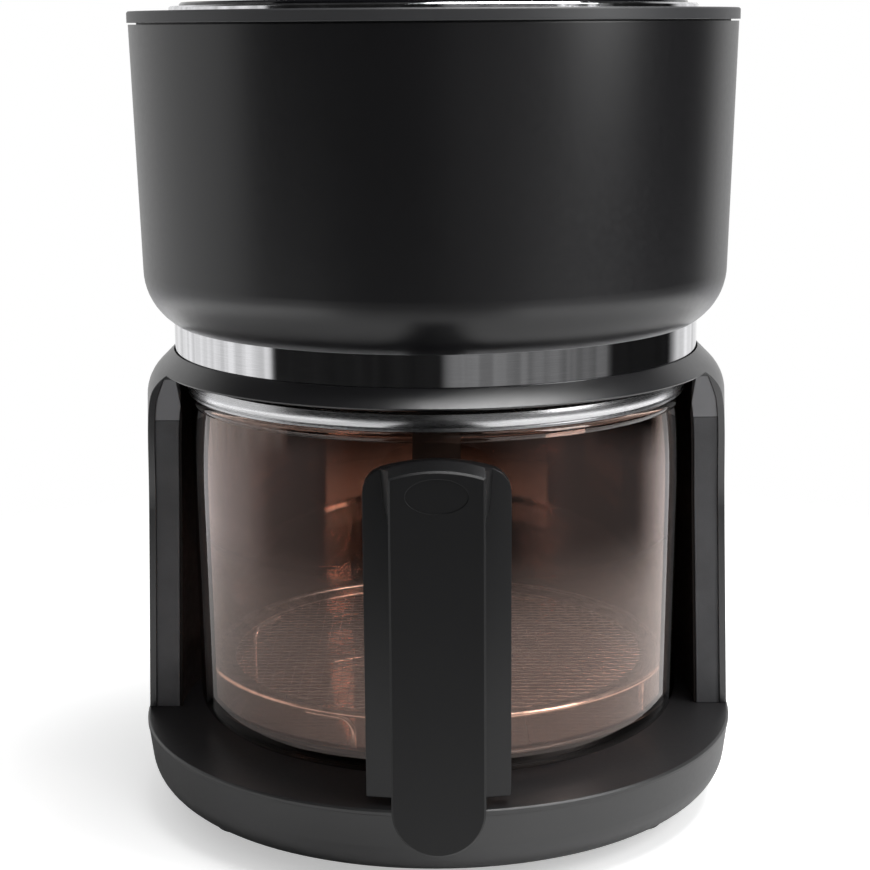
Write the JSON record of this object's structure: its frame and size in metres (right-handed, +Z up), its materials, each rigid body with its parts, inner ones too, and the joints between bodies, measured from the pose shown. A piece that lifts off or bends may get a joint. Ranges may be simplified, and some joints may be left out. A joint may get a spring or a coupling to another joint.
{
  "type": "glass air fryer",
  "caption": "Countertop air fryer with a drum heater head over a windowed frame, and a handled glass pot with a wire crisper rack that slides out to the front.",
  "frame": {"origin": "on the surface it stands on, on the axis of the round body", "axes": "+Z up along the body's axis, -Y to the front where the pot's handle is, +X to the right seen from the front"},
  "size_m": [0.2644, 0.3082, 0.3516],
  "materials": {
    "head_plastic": "satin charcoal",
    "lid_plastic": "satin grey",
    "frame_plastic": "satin charcoal",
    "base_plastic": "satin charcoal",
    "dark_plastic": "fine texture, dark",
    "trim_plastic": "fine texture",
    "handle_plastic": "satin black",
    "polished_steel": "polished, turned",
    "rim_steel": "satin, turned",
    "inner_steel": "plain sheet",
    "black_steel": "black coat",
    "screw_steel": "plain",
    "rack_steel": "bright wire",
    "trim_chrome": "bright",
    "panel_glass": "gloss black",
    "amber_glass": "clear, amber tint",
    "foot_rubber": "matte",
    "seal_silicone": "matte",
    "board_green": "circuit board",
    "fan_metal": "plain",
    "motor_metal": "zinc coat",
    "copper_wound": "laminated rotor",
    "bronze": "sintered bronze",
    "coil_metal": "heat-darkened",
    "mineral_wool": "pressed fibre"
  },
  "bodies": {
    "housing": {"base_shell": "base_plastic", "feet": "foot_rubber", "bottom_plate": "dark_plastic", "deck_plate": "base_plastic", "base_screws": "screw_steel", "frame_shell": "frame_plastic", "cavity_liner": "dark_plastic", "jamb_trim_left": "trim_plastic", "jamb_trim_right": "trim_plastic", "collar_liner": "trim_plastic", "guide_pads": "seal_silicone", "interlock_switch": "dark_plastic", "neck_band": "polished_steel", "neck_core": "dark_plastic", "neck_screws": "screw_steel", "guard_grille": "black_steel", "head_shell": "head_plastic", "top_cover": "lid_plastic", "panel_trim_ring": "trim_chrome", "touch_panel": "panel_glass", "control_board": "board_green", "display_module": "panel_glass", "board_screws": "screw_steel", "heat_dome": "inner_steel", "insulation_disc": "mineral_wool", "heater_coil": "coil_metal", "motor_body": "motor_metal", "motor_bearings": "bronze", "motor_bracket": "motor_metal", "motor_screws": "screw_steel", "power_board": "board_green", "temperature_probe": "inner_steel", "thermal_fuse": "seal_silicone", "rear_vent": "trim_plastic", "cord_gland": "foot_rubber"},
    "pot": {"glass_pot": "amber_glass", "pot_rim_ring": "rim_steel", "rim_seal": "seal_silicone", "handle_strap": "black_steel", "glass_bushings": "seal_silicone", "handle_bracket": "black_steel", "handle_plate": "handle_plastic", "handle_screws": "screw_steel", "handle_buffer": "seal_silicone", "handle_grip": "handle_plastic"},
    "rack": {"rack_rim": "rack_steel", "rack_mesh": "rack_steel", "rack_legs": "rack_steel"},
    "fan": {"hot_air_fan": "fan_metal", "cooling_fan": "fan_metal", "motor_shaft": "inner_steel", "motor_rotor": "copper_wound"},
    "plunger": {"switch_plunger": "handle_plastic"}
  },
  "joints": [
    {"name": "pot_slide", "type": "slide", "parent": "housing", "child": "pot", "axis": [0, -1, 0], "range_m": [0, 0.245]},
    {"name": "rack_lift", "type": "slide", "parent": "pot", "child": "rack", "axis": [0, 0, 1], "range_m": [0, 0.128]},
    {"name": "fan_spin", "type": "hinge", "parent": "housing", "child": "fan", "pos_m": [0, 0, 0.28], "axis": [0, 0, 1], "continuous": true},
    {"name": "plunger_slide", "type": "slide", "parent": "housing", "child": "plunger", "axis": [0, -1, 0], "range_m": [0, 0.0025]}
  ],
  "couplings": [
    {"joint": "plunger_slide", "follows": "pot_slide", "ratio": 0.0102}
  ]
}
